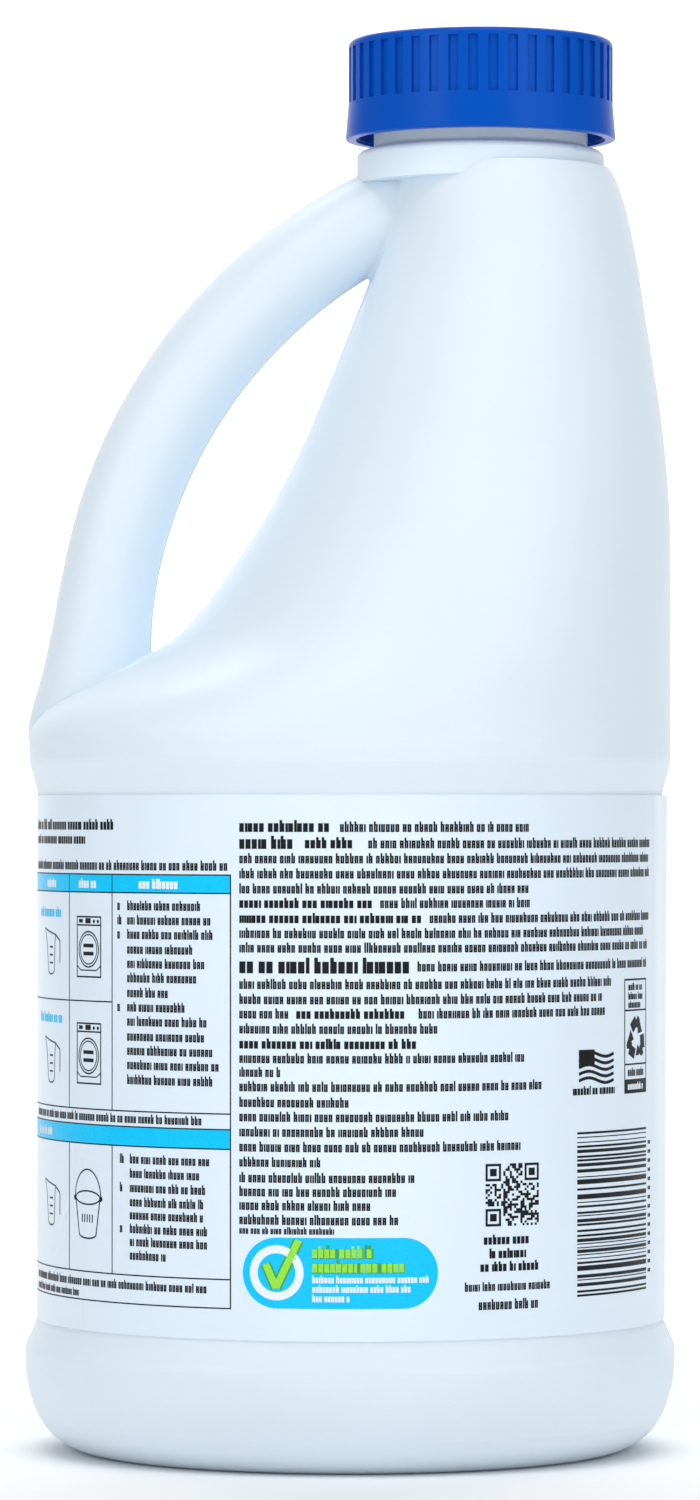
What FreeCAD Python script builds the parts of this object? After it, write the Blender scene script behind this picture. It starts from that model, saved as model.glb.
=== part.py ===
import FreeCAD, Part

import math
import os
import re

import Sketcher

# A 1.27 litre bleach bottle: a round blow-moulded bottle with its neck set to one side and a hollow
# handle on the other, a ribbed screw cap with its liner disc, a sealing foil over the mouth, a wrap
# label in the recessed panel, and the liquid inside.
#
# Frame: millimetres, +Z up. The origin is the centre of the round body, on the surface it stands on.
# +X points to the neck's side, so the handle is on -X. Handle and neck lie in the XZ plane.

Vector = FreeCAD.Vector
doc = FreeCAD.newDocument("bleach_bottle")
sheet = doc.addObject("Spreadsheet::Sheet", "sizes")

# Driving dimensions, in millimetres and degrees.
SIZES = {
    # round lower body
    "wall": 0.9,
    "base_radius": 54.0,
    "base_widest_height": 14.6,
    "base_corner_radius": 20.2,
    "base_straight_height": 2.6,
    "foot_round": 10.2,
    "foot_ring_width": 4.8,
    "hollow_slope_width": 8.0,
    "hollow_rise": 2.6,
    "hollow_round": 3.0,
    "low_step_height": 4.4,
    "panel_recess": 2.0,
    "panel_height": 87.6,
    "high_step_height": 5.3,
    "step_round": 3.0,
    "shoulder_set_in": 0.6,
    "shoulder_rim_height": 2.5,
    # neck and the collar under it
    "neck_offset": 21.8,
    "neck_radius": 17.7,
    "neck_height": 15.7,
    "neck_wall": 2.1,
    "neck_root_round": 0.8,
    "lip_round": 0.5,
    "collar_lap": 2.4,
    "collar_height": 5.5,
    "collar_ledge": 2.75,
    "collar_round": 1.1,
    # handle: a tube of oval section on an arc that opens a little, with a wide foot in the shoulder
    "handle_arc_rise": 12.8,
    "handle_arc_set_in": 12.0,
    "handle_arc_growth": 0.7,
    "handle_end_set_back": 8.5,
    "handle_end_drop": 1.9,
    "handle_half_thickness": 7.8,
    "handle_extra_depth": 1.6,
    "handle_end_extra_depth": 0.1,
    "handle_foot_extra_depth": 0.9,
    "handle_joint_round": 0.5,
    # screw thread, the same ridge on the neck and in the cap
    "pitch": 4.233,
    "thread_play": 0.3,
    "thread_height": 1.2,
    "thread_overlap": 0.7,
    "thread_root_width": 2.2,
    "thread_crest_width": 1.0,
    "thread_sink": 0.6,
    "neck_thread_drop": 9.4,
    "neck_thread_turns": 1.5,
    "cap_thread_turns": 1.25,
    # screw cap
    "cap_collar_gap": 1.9,
    "cap_thread_gap": 1.0,
    "cap_wall": 2.15,
    "cap_rim_flare": 0.5,
    "cap_band_height": 6.0,
    "cap_top_round": 1.0,
    "cap_rim_round": 0.3,
    "cap_top_thickness": 1.5,
    "cap_rim_bore_ease": 0.5,
    "cap_rim_bore_depth": 3.0,
    "cap_rim_step_ease": 0.9,
    "cap_rim_step_depth": 0.5,
    "groove_count": 42,
    "groove_depth": 0.5,
    "groove_width": 1.62,
    "groove_top_gap": 1.3,
    # liner disc and sealing foil
    "liner_thickness": 1.0,
    "liner_side_gap": 0.3,
    "liner_seal_gap": 0.05,
    "seal_thickness": 0.15,
    "seal_edge_inset": 0.3,
    # wrap label
    "label_gap": 0.05,
    "label_thickness": 0.12,
    "label_end_gap": 0.3,
    "label_lap_angle": 9.0,
    "label_lap_start": -4.0,
    # liquid
    "liquid_gap": 0.3,
    "fill_rise": 67.0,
}

# The upper body's outline, section by section. How far each rises from the one below, then how far it
# reaches past the shoulder's edge, or past the collar's edge for those nearer to the neck: on the
# handle's side, on the neck's side and at front and back.
SHOULDER_OUTLINE = {
    "ledge": (5.0, -1.8, 0.0, -0.6),
    "crook": (6.0, -11.9, 0.0, -2.2),
    "slope": (6.0, -22.8, 0.0, -4.4),
    "waist": (12.0, -33.4, 0.0, -8.2),
}
NECK_OUTLINE = {
    "throat": (14.0, 12.55, 10.75, 19.95),
    "breast": (16.0, 5.35, 8.95, 13.95),
    "crown": (16.0, -1.05, 6.45, 7.75),
    "crest": (12.0, -4.65, 4.35, 3.55),
    "brow": (9.2, -6.35, 1.15, 0.45),
}
OUTLINE = {**SHOULDER_OUTLINE, **NECK_OUTLINE}

# The level ovals at the handle's foot, the lowest one inside the shoulder: how far each rises from the
# shoulder's start, and how far its outer and inner sides are set in from the shoulder's edge.
HANDLE_FOOT = {
    "foot": (-1.0, 0.5, 21.4),
    "ankle": (7.2, 0.7, 20.6),
    "root": (12.8, 2.3, 20.2),
}
HANDLE_STEPS = 7

for section, (rise, *reaches) in OUTLINE.items():
    SIZES[f"{section}_rise"] = rise
    for side, reach in zip(("left", "right", "depth"), reaches):
        SIZES[f"{section}_{side}_reach"] = reach
for section, (rise, *insets) in HANDLE_FOOT.items():
    SIZES[f"handle_{section}_rise"] = rise
    for side, inset in zip(("left", "right"), insets):
        SIZES[f"handle_{section}_{side}_set_in"] = inset

for row, (alias, value) in enumerate(SIZES.items(), start=1):
    sheet.set(f"A{row}", alias)
    sheet.set(f"B{row}", str(value))
    sheet.setAlias(f"B{row}", alias)
doc.recompute()

# Places and sizes that follow from the driving dimensions.
WORKED_OUT = {
    "panel_radius": "base_radius - panel_recess",
    "panel_bottom": "base_widest_height + base_straight_height + low_step_height",
    "panel_top": "panel_bottom + panel_height",
    "shoulder_radius": "base_radius - shoulder_set_in",
    "shoulder_start": "panel_top + high_step_height + shoulder_rim_height",
    "foot_ring_radius": "base_radius - base_corner_radius + "
    "sqrt((base_corner_radius - foot_round) ^ 2 - (base_widest_height - foot_round) ^ 2)",
    "hollow_radius": "foot_ring_radius - foot_ring_width",
    "collar_bottom": "brow_height - collar_lap",
    "collar_top": "collar_bottom + collar_height",
    "collar_radius": "neck_radius + collar_ledge",
    "mouth_height": "collar_top + neck_height",
    "bore_radius": "neck_radius - neck_wall",
    "bore_bottom": "collar_bottom + wall",
    "handle_arc_height": "shoulder_start + handle_arc_rise",
    # The arc starts upright. Its radius and angle are what bring its end to the neck.
    "handle_start": "handle_arc_set_in - shoulder_radius",
    "handle_span": "neck_offset - handle_end_set_back - handle_start",
    "handle_climb": "collar_bottom - handle_end_drop - handle_arc_height",
    "handle_arc_radius": "(handle_span ^ 2 + handle_climb ^ 2 - handle_arc_growth ^ 2) / "
    "(2 * (handle_span + handle_arc_growth))",
    "handle_arc_angle": "asin(handle_climb / (handle_arc_radius + handle_arc_growth)) / 1deg",
    "handle_arc_centre": "handle_start + handle_arc_radius",
    "neck_thread_start": "mouth_height - neck_thread_drop",
    "neck_thread_radius": "neck_radius + thread_height",
    "liner_bottom": "mouth_height + seal_thickness + liner_seal_gap",
    "cap_bottom": "collar_top + cap_collar_gap",
    "cap_height": "liner_bottom + liner_thickness + cap_top_thickness - cap_bottom",
    "cap_inner_radius": "neck_thread_radius + cap_thread_gap",
    "cap_radius": "cap_inner_radius + cap_wall",
    "cap_rim_radius": "cap_radius + cap_rim_flare",
    # The ridge in the cap runs this far below the ridge on the neck.
    "thread_drop": "(thread_root_width + thread_crest_width) / 2 + thread_play",
    "label_radius": "panel_radius + label_gap",
}
below = "shoulder_start"
for section in OUTLINE:
    if section in SHOULDER_OUTLINE:
        middle, edge = "0", "shoulder_radius"
    else:
        middle, edge = "neck_offset", "collar_radius"
    WORKED_OUT[f"{section}_height"] = f"{below} + {section}_rise"
    WORKED_OUT[f"{section}_left"] = f"{middle} - {edge} - {section}_left_reach"
    WORKED_OUT[f"{section}_right"] = f"{middle} + {edge} + {section}_right_reach"
    WORKED_OUT[f"{section}_depth"] = f"{edge} + {section}_depth_reach"
    below = f"{section}_height"


def in_sheet(expression):
    """Write an expression in the sheet's aliases, and in what is worked out from them."""

    def spelt_out(match):
        name = match[0]
        if name in WORKED_OUT:
            return f"({in_sheet(WORKED_OUT[name])})"
        return f"sizes.{name}" if name in SIZES else name

    return re.sub("[a-z][a-z_]*", spelt_out, expression)


def worth(expression):
    """What an expression in the sheet's aliases comes to."""
    return float(sheet.evalExpression(in_sheet(expression)))


def bind(obj, **properties):
    """Bind properties to expressions. A double underscore in a name stands for a dot."""
    for name, expression in properties.items():
        obj.setExpression(name.replace("__", "."), in_sheet(expression))
    return obj


def add(kind, name, **properties):
    return bind(doc.addObject(kind, name), **properties)


def new_body(name):
    return doc.addObject("PartDesign::Body", name)


def outline_sketch(body, name, corners, arcs=(), plane="XZ_Plane"):
    """Draw a closed outline, each corner bound to the sheet.

    corners: (across, up) expressions in order, anticlockwise. arcs: {side: radius}, the sides that
    bulge outwards as arcs, where side i runs from corner i to the next.
    """
    sketch = body.newObject("Sketcher::SketchObject", name)
    origin = next(o for o in body.Origin.OriginFeatures if o.Role == plane)
    sketch.AttachmentSupport = [(origin, "")]
    sketch.MapMode = "FlatFace"
    points = [Vector(worth(across), worth(up), 0) for across, up in corners]
    for i, start in enumerate(points):
        end = points[(i + 1) % len(points)]
        if i in arcs:
            middle = (start + end) * 0.5
            outwards = Vector(end.y - start.y, start.x - end.x, 0).normalize()
            radius, half = worth(arcs[i]), start.distanceToPoint(end) / 2
            bulge = radius - math.sqrt(radius**2 - half**2)
            side = Part.Arc(start, middle + outwards * bulge, end)
        else:
            side = Part.LineSegment(start, end)
        sketch.addGeometry(side, False)
    for i, (across, up) in enumerate(corners):
        after = (i + 1) % len(corners)
        sketch.addConstraint(Sketcher.Constraint("Coincident", i, 2, after, 1))
        for direction, axis, expression in (("DistanceX", -2, across), ("DistanceY", -1, up)):
            if expression == "0":
                sketch.addConstraint(Sketcher.Constraint("PointOnObject", i, 1, axis))
                continue
            constraint = Sketcher.Constraint(direction, -1, 1, i, 1, worth(expression))
            index = sketch.addConstraint(constraint)
            sketch.setExpression(f"Constraints[{index}]", in_sheet(expression))
        if i in arcs:
            index = sketch.addConstraint(Sketcher.Constraint("Radius", i, worth(arcs[i])))
            sketch.setExpression(f"Constraints[{index}]", in_sheet(arcs[i]))
    return sketch


def revolve(body, sketch):
    turned = body.newObject("PartDesign::Revolution", sketch.Name + "_turned")
    turned.Profile = sketch
    turned.ReferenceAxis = (sketch, ["V_Axis"])
    turned.Angle = 360
    doc.recompute()
    return turned


def round_rings(body, base, name, radius, rings):
    """Fillet the circular edges that have the given (radius, height), in expressions."""
    wanted = [(worth(across), worth(up)) for across, up in rings]
    edges = []
    for index, edge in enumerate(base.Shape.Edges, start=1):
        if not isinstance(edge.Curve, Part.Circle):
            continue
        ring = (edge.Curve.Radius, edge.Curve.Center.z)
        if any(math.dist(ring, place) < 1e-3 for place in wanted):
            edges.append(f"Edge{index}")
    fillet = body.newObject("PartDesign::Fillet", name)
    fillet.Base = (base, edges)
    fillet.setExpression("Radius", in_sheet(radius))
    doc.recompute()
    return fillet


def thread_ridge(body, name, plane, root, crest, middle, turns):
    """Add one helical ridge that starts on a plane: its root and crest radii and middle height."""
    corners = [
        (root, f"{middle} - thread_root_width / 2"),
        (crest, f"{middle} - thread_crest_width / 2"),
        (crest, f"{middle} + thread_crest_width / 2"),
        (root, f"{middle} + thread_root_width / 2"),
    ]
    sketch = outline_sketch(body, name + "_section", corners, plane=plane)
    ridge = body.newObject("PartDesign::AdditiveHelix", name)
    ridge.Profile = sketch
    ridge.ReferenceAxis = (sketch, ["V_Axis"])
    ridge.Mode = "pitch-height-angle"
    ridge.setExpression("Pitch", in_sheet("pitch"))
    ridge.setExpression("Height", in_sheet(f"pitch * ({turns})"))
    doc.recompute()
    return ridge


# ---- bottle ------------------------------------------------------------------------------------


def round_lower_body(name, inset):
    """The turned lower body, from the hollow under the base to the shoulder, drawn in by inset."""
    body = new_body(name)
    arc_middle = "(base_radius - base_corner_radius)"
    arc_radius = f"(base_corner_radius - {inset})"
    arc_drop = f"(base_widest_height - {inset})"
    corners = [
        ("0", f"hollow_rise + {inset}"),
        ("hollow_radius - hollow_slope_width", f"hollow_rise + {inset}"),
        ("hollow_radius", inset),
        (f"{arc_middle} + sqrt({arc_radius} ^ 2 - {arc_drop} ^ 2)", inset),
        (f"base_radius - {inset}", "base_widest_height"),
        (f"base_radius - {inset}", "panel_bottom - low_step_height"),
        (f"panel_radius - {inset}", "panel_bottom"),
        (f"panel_radius - {inset}", "panel_top"),
        (f"shoulder_radius - {inset}", "panel_top + high_step_height"),
        (f"shoulder_radius - {inset}", f"shoulder_start - {inset}"),
        ("0", f"shoulder_start - {inset}"),
    ]
    sketch = outline_sketch(body, name + "_outline", corners, arcs={3: arc_radius})
    turned = revolve(body, sketch)
    steps = round_rings(body, turned, name + "_step_rounds", "step_round", corners[5:9])
    hollow = round_rings(body, steps, name + "_hollow_rounds", "hollow_round", corners[1:3])
    round_rings(body, hollow, name + "_foot_round", f"foot_round - {inset}", corners[3:4])
    return body


def loft_through(name, ovals):
    loft = doc.addObject("Part::Loft", name)
    loft.Sections = ovals
    loft.Solid = True
    return loft


def level_oval(name, left, right, depth, height):
    """An oval that lies level: how far it reaches left and right, its half depth and its height."""
    oval = add(
        "Part::Ellipse",
        name,
        MajorRadius=depth,
        MinorRadius=f"(({right}) - ({left})) / 2",
        Placement__Base__x=f"(({right}) + ({left})) / 2",
        Placement__Base__z=height,
    )
    oval.Placement.Rotation = FreeCAD.Rotation(Vector(0, 0, 1), 90)
    return oval


def upper_body(name, inset):
    """The upper body: a loft through ovals, from the round shoulder to the foot of the neck."""
    edge = f"shoulder_radius - {inset}"
    ovals = [level_oval(name + "_start", f"-({edge})", edge, edge, f"shoulder_start - {inset}")]
    for part in OUTLINE:
        left, right = f"{part}_left + {inset}", f"{part}_right - {inset}"
        depth, height = f"{part}_depth - {inset}", f"{part}_height - {inset}"
        ovals.append(level_oval(f"{name}_{part}", left, right, depth, height))
    return loft_through(name, ovals)


def handle(name, inset):
    """The handle's tube: a loft through ovals, up from a wide foot in the shoulder along one arc."""
    ovals = []
    for part in HANDLE_FOOT:
        left = f"handle_{part}_left_set_in - shoulder_radius + {inset}"
        right = f"handle_{part}_right_set_in - shoulder_radius - {inset}"
        depth = f"({right} - ({left})) / 2 + handle_foot_extra_depth"
        height = f"shoulder_start + handle_{part}_rise"
        ovals.append(level_oval(f"{name}_{part}", left, right, depth, height))
    for step in range(1, HANDLE_STEPS + 1):
        share = f"{step} / {HANDLE_STEPS}"
        turn = f"(handle_arc_angle * {share})"
        radius = f"(handle_arc_radius + handle_arc_growth * {share})"
        extra = "handle_end_extra_depth" if step == HANDLE_STEPS else "handle_extra_depth"
        oval = add(
            "Part::Ellipse",
            f"{name}_oval_{step}",
            MajorRadius=f"handle_half_thickness + {extra} - {inset}",
            MinorRadius=f"handle_half_thickness - {inset}",
        )
        across = f"handle_arc_centre - {radius} * cos({turn} * 1deg)"
        up = f"handle_arc_height + {radius} * sin({turn} * 1deg)"
        tilt = f"rotation(vector(0; 1; 0); {turn}) * rotation(vector(0; 0; 1); 90)"
        oval.setExpression("Placement", in_sheet(f"placement(vector({across}; 0; {up}); {tilt})"))
        ovals.append(oval)
    return loft_through(name, ovals)


def neck_and_collar(name):
    """The collar and the neck with its thread, solid for now, on the neck's own axis."""
    body = new_body(name)
    corners = [
        ("0", "collar_bottom"),
        ("collar_radius", "collar_bottom"),
        ("collar_radius", "collar_top"),
        ("neck_radius", "collar_top"),
        ("neck_radius", "mouth_height"),
        ("0", "mouth_height"),
    ]
    turned = revolve(body, outline_sketch(body, name + "_outline", corners))
    collar = round_rings(body, turned, name + "_collar_round", "collar_round", corners[2:3])
    root = round_rings(body, collar, name + "_root_round", "neck_root_round", corners[3:4])
    round_rings(body, root, name + "_lip_round", "lip_round", corners[4:5])
    thread_ridge(
        body,
        name + "_thread",
        "XZ_Plane",
        "neck_radius - thread_sink",
        "neck_thread_radius",
        "neck_thread_start",
        "neck_thread_turns",
    )
    bind(body, Placement__Base__x="neck_offset")
    return body


def union(name, pieces):
    whole = doc.addObject("Part::MultiFuse", name)
    whole.Shapes = pieces
    return whole


def round_handle_joints(name, base, radius):
    """Fillet the edges where the handle's tube meets the upper body, at both of its ends."""
    doc.recompute()
    lofts = [face for face in base.Shape.Faces if isinstance(face.Surface, Part.BSplineSurface)]
    lofts.sort(key=lambda face: face.Area)
    tube, body = lofts[-2:]
    edges = []
    for index, edge in enumerate(base.Shape.Edges, start=1):
        if any(edge.isSame(e) for e in tube.Edges) and any(edge.isSame(e) for e in body.Edges):
            edges.append((index, worth(radius), worth(radius)))
    fillet = doc.addObject("Part::Fillet", name)
    fillet.Base = base
    fillet.Edges = edges
    return fillet


def inside(name, inset):
    """The space inside the bottle up to the foot of the neck, drawn in by inset."""
    lower = round_lower_body(name + "_lower", inset)
    return [lower, upper_body(name + "_upper", inset), handle(name + "_handle", inset)]


outer = union("bottle_outside", [*inside("outside", "0"), neck_and_collar("neck")])
outer_rounded = round_handle_joints("bottle_outside_rounded", outer, "handle_joint_round")
bore = add(
    "Part::Cylinder",
    "neck_bore",
    Radius="bore_radius",
    Height="2 * (mouth_height - bore_bottom)",
    Placement__Base__x="neck_offset",
    Placement__Base__z="bore_bottom",
)
hollow = union("bottle_inside", [*inside("hollow", "wall"), bore])
bottle = doc.addObject("Part::Cut", "bottle_body")
bottle.Base = outer_rounded
bottle.Tool = hollow

# ---- liquid ------------------------------------------------------------------------------------

liquid_space = union("liquid_space", inside("liquid", "(wall + liquid_gap)"))
filled_part = add(
    "Part::Cylinder",
    "filled_part",
    Radius="2 * base_radius",
    Height="shoulder_start + fill_rise",
)
liquid = doc.addObject("Part::Common", "bleach_liquid")
liquid.Base = liquid_space
liquid.Tool = filled_part

# ---- sealing foil and liner disc ---------------------------------------------------------------

seal = add(
    "Part::Cylinder",
    "mouth_seal",
    Radius="neck_radius - seal_edge_inset",
    Height="seal_thickness",
    Placement__Base__x="neck_offset",
    Placement__Base__z="mouth_height",
)
liner = add(
    "Part::Cylinder",
    "cap_liner",
    Radius="cap_inner_radius - liner_side_gap",
    Height="liner_thickness",
    Placement__Base__x="neck_offset",
    Placement__Base__z="liner_bottom",
)

# ---- screw cap ---------------------------------------------------------------------------------


def screw_cap(name):
    """The cap, drawn from its rim up and then set over the neck."""
    body = new_body(name)
    ceiling = "cap_height - cap_top_thickness"
    rim_bore, rim_step = (f"cap_inner_radius + cap_rim_{part}_ease" for part in ("bore", "step"))
    corners = [
        (rim_step, "0"),
        ("cap_rim_radius", "0"),
        ("cap_radius", "cap_band_height"),
        ("cap_radius", "cap_height"),
        ("0", "cap_height"),
        ("0", ceiling),
        ("cap_inner_radius", ceiling),
        ("cap_inner_radius", "cap_rim_bore_depth"),
        (rim_bore, "cap_rim_bore_depth"),
        (rim_bore, "cap_rim_step_depth"),
        (rim_step, "cap_rim_step_depth"),
    ]
    turned = revolve(body, outline_sketch(body, name + "_outline", corners))
    top = round_rings(body, turned, name + "_top_round", "cap_top_round", corners[3:4])
    round_rings(body, top, name + "_rim_round", "cap_rim_round", corners[1:2])
    # The neck's ridge is met a quarter turn on, a quarter of the pitch higher.
    thread_ridge(
        body,
        name + "_thread",
        "YZ_Plane",
        "cap_inner_radius + thread_sink",
        "neck_thread_radius - thread_overlap",
        "neck_thread_start + pitch / 4 - thread_drop - cap_bottom",
        "cap_thread_turns",
    )
    groove_section = outline_sketch(
        body,
        name + "_groove_section",
        [
            ("cap_radius - groove_depth", "-groove_width / 2"),
            ("cap_rim_radius", "-groove_width / 2"),
            ("cap_rim_radius", "groove_width / 2"),
            ("cap_radius - groove_depth", "groove_width / 2"),
        ],
        plane="XY_Plane",
    )
    groove_section.setExpression("AttachmentOffset.Base.z", in_sheet("cap_band_height"))
    groove = body.newObject("PartDesign::Pocket", name + "_groove")
    groove.Profile = groove_section
    groove.Reversed = True
    groove.setExpression("Length", in_sheet("cap_height - groove_top_gap - cap_band_height"))
    doc.recompute()
    grooves = body.newObject("PartDesign::PolarPattern", name + "_grooves")
    grooves.Originals = [groove]
    axis = next(o for o in body.Origin.OriginFeatures if o.Role == "Z_Axis")
    grooves.Axis = (axis, [""])
    grooves.Angle = 360
    grooves.setExpression("Occurrences", in_sheet("groove_count"))
    body.Tip = grooves
    return bind(body, Placement__Base__x="neck_offset", Placement__Base__z="cap_bottom")


cap = screw_cap("screw_cap")

# ---- wrap label --------------------------------------------------------------------------------


def label_drum(name, radius):
    """A drum as tall as the label."""
    return add(
        "Part::Cylinder",
        name,
        Radius=radius,
        Height="panel_height - 2 * label_end_gap",
        Placement__Base__z="panel_bottom + label_end_gap",
    )


label_outside = label_drum("label_outside", "label_radius + label_thickness")
label_lap = label_drum("label_lap", "label_radius + 2 * label_thickness")
bind(label_lap, Angle="label_lap_angle")
label_lap.Placement.Rotation = FreeCAD.Rotation(Vector(0, 0, 1), worth("label_lap_start"))
label = doc.addObject("Part::Cut", "wrap_label")
label.Base = union("label_film", [label_outside, label_lap])
label.Tool = label_drum("label_inside", "label_radius")

# ---- check and write ---------------------------------------------------------------------------

doc.recompute()
for obj in doc.Objects:
    failed = {"Invalid", "Error"} & set(obj.State)
    if failed:
        raise RuntimeError(f"{obj.Name} is {', '.join(sorted(failed))}")

os.makedirs("parts", exist_ok=True)
for node in (bottle, cap, liner, seal, label, liquid):
    shape = node.Shape
    if shape.isNull() or not shape.isValid() or len(shape.Solids) != 1:
        raise RuntimeError(f"{node.Label} is not one valid solid")
    node.Shape.exportStep(f"parts/{node.Label}.step")
    print(f"{node.Label}: {shape.Volume / 1000:.2f} cm3, {len(shape.Faces)} faces")
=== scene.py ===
"""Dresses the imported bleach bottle: its moulded plastic, the printed wrap label, the cap and a studio."""

import logging
import math
import random
from dataclasses import dataclass, field
from enum import Enum

import bmesh
import bpy
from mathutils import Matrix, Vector


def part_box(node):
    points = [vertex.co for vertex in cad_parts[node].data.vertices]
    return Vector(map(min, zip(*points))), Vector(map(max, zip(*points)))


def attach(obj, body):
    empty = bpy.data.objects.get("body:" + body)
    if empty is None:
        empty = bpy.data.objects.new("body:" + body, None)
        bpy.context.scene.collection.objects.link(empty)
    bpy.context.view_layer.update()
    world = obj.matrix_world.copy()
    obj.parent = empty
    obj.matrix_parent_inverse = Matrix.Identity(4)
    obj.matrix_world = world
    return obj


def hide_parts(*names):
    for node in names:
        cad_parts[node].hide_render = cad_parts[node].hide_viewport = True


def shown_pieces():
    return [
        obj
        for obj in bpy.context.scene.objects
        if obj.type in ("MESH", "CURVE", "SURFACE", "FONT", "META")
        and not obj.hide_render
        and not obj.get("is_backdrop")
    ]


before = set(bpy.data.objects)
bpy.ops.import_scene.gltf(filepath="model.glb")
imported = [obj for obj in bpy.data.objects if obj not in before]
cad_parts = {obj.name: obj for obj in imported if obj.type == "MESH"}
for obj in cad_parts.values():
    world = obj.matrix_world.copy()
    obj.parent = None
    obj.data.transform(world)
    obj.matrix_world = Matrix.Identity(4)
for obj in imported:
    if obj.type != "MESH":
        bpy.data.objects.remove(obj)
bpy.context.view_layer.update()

MM = 0.001
LOG = logging.getLogger("bottle")

Colour = tuple[float, float, float]
Pair = tuple[float, float]
Place = tuple[float, float]
Spot = tuple[float, float, float]
Nodes = bpy.types.NodeTree

NOISE_FAINT, NOISE_STRONG = 0.3, 0.7  # most of a noise's values lie between these


# ---- finishes ---------------------------------------------------------------------------------


class NodeBench:
    """Adds and joins the nodes of one material."""

    def __init__(self, name: str) -> None:
        """Start an empty material.

        Args:
            name: the material's name.
        """
        self.material = bpy.data.materials.new(name)
        self.material.use_nodes = True
        self.tree: Nodes = self.material.node_tree
        self.tree.nodes.clear()
        self.output = self.add("ShaderNodeOutputMaterial")
        self.shader = self.add("ShaderNodeBsdfPrincipled")
        self.join(self.shader, "BSDF", self.output, "Surface")

    def add(self, kind: str, **values: object) -> bpy.types.Node:
        """Add a node and set its properties or the defaults of its sockets.

        Args:
            kind: the node's type name.
            values: a property of the node, or a socket's name with spaces as underscores.

        Returns:
            The new node.
        """
        node = self.tree.nodes.new(kind)
        for name, value in values.items():
            if hasattr(node, name):
                setattr(node, name, value)
            else:
                node.inputs[name.replace("_", " ")].default_value = value
        return node

    def join(self, start: bpy.types.Node, output: str | int, end: bpy.types.Node, entry: str | int) -> None:
        """Join an output of one node to an input of another."""
        self.tree.links.new(start.outputs[output], end.inputs[entry])

    def place(self) -> bpy.types.Node:
        """Add the piece's own coordinates, which the textures read.

        Returns:
            A mapping node that passes them on.
        """
        start = self.add("ShaderNodeTexCoord")
        mapping = self.add("ShaderNodeMapping")
        self.join(start, "Object", mapping, "Vector")
        return mapping

    def noise(self, place: bpy.types.Node, scale: float, detail: float) -> bpy.types.Node:
        """Add a cloudy noise at a position.

        Args:
            place: the node whose vector it reads.
            scale: how many clouds fit in a metre.
            detail: how many finer layers it has.

        Returns:
            The noise node.
        """
        cloud = self.add("ShaderNodeTexNoise", Scale=scale, Detail=detail)
        self.join(place, "Vector", cloud, "Vector")
        return cloud

    def spread(self, source: bpy.types.Node, low: float, high: float) -> bpy.types.Node:
        """Stretch a noise's middle range to the range from low to high.

        Args:
            source: the noise node.
            low: the value where the noise is faint.
            high: the value where it is strong.

        Returns:
            The node that holds the new value.
        """
        stretch = self.add("ShaderNodeMapRange")
        ends = {"From Min": NOISE_FAINT, "From Max": NOISE_STRONG, "To Min": low, "To Max": high}
        for entry, value in ends.items():
            stretch.inputs[entry].default_value = value
        self.join(source, 0, stretch, "Value")
        return stretch

    def blend(self, share: bpy.types.Node, low: Colour, high: Colour) -> bpy.types.Node:
        """Mix two colours by a share.

        Args:
            share: the node whose first output runs from 0 to 1.
            low: the colour at 0.
            high: the colour at 1.

        Returns:
            The ramp node that holds the colour.
        """
        ramp = self.add("ShaderNodeValToRGB")
        ramp.color_ramp.elements[0].color = (*low, 1)
        ramp.color_ramp.elements[1].color = (*high, 1)
        self.join(share, 0, ramp, "Fac")
        return ramp

    def raise_from(self, height: bpy.types.Node, distance: float, strength: float) -> None:
        """Let a height show as fine relief on the shader.

        Args:
            height: the node that holds the height.
            distance: the relief's height in metres.
            strength: how strongly it shows.
        """
        bump = self.add("ShaderNodeBump", Strength=strength, Distance=distance)
        self.join(height, 0, bump, "Height")
        self.join(bump, "Normal", self.shader, "Normal")


def tint(colour: Colour, factor: float) -> Colour:
    """A colour made lighter or darker by a factor."""
    return tuple(min(1.0, part * factor) for part in colour)


@dataclass(frozen=True)
class MouldedPlastic:
    """A moulded plastic: its colour, its gloss and the faint unevenness that the mould leaves."""

    name: str
    colour: Colour
    roughness: float
    glow: float = 0.0
    glow_depth: float = 0.004
    glow_reach: Colour = (0.8, 0.95, 1.0)
    variation: float = 0.03
    gloss_variation: float = 0.08
    cloud_scale: float = 35.0
    grain_scale: float = 2600.0
    grain_height: float = 0.00002
    grain_strength: float = 0.35
    shine: float = 0.5

    def make(self) -> bpy.types.Material:
        """Build the material.

        Returns:
            The material, ready to go on a piece.
        """
        bench = NodeBench(self.name)
        shader = bench.shader
        shader.inputs["Subsurface Weight"].default_value = self.glow
        shader.inputs["Subsurface Radius"].default_value = self.glow_reach
        shader.inputs["Subsurface Scale"].default_value = self.glow_depth
        shader.inputs["Specular IOR Level"].default_value = self.shine
        place = bench.place()
        clouds = bench.noise(place, self.cloud_scale, 3.0)
        share = bench.spread(clouds, 0.0, 1.0)
        darker, lighter = tint(self.colour, 1 - self.variation), tint(self.colour, 1 + self.variation)
        bench.join(bench.blend(share, darker, lighter), "Color", shader, "Base Color")
        smoother, rougher = (self.roughness * (1 + side * self.gloss_variation) for side in (-1, 1))
        bench.join(bench.spread(clouds, smoother, rougher), "Result", shader, "Roughness")
        grain = bench.noise(place, self.grain_scale, 2.0)
        bench.raise_from(grain, self.grain_height, self.grain_strength)
        return bench.material


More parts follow.
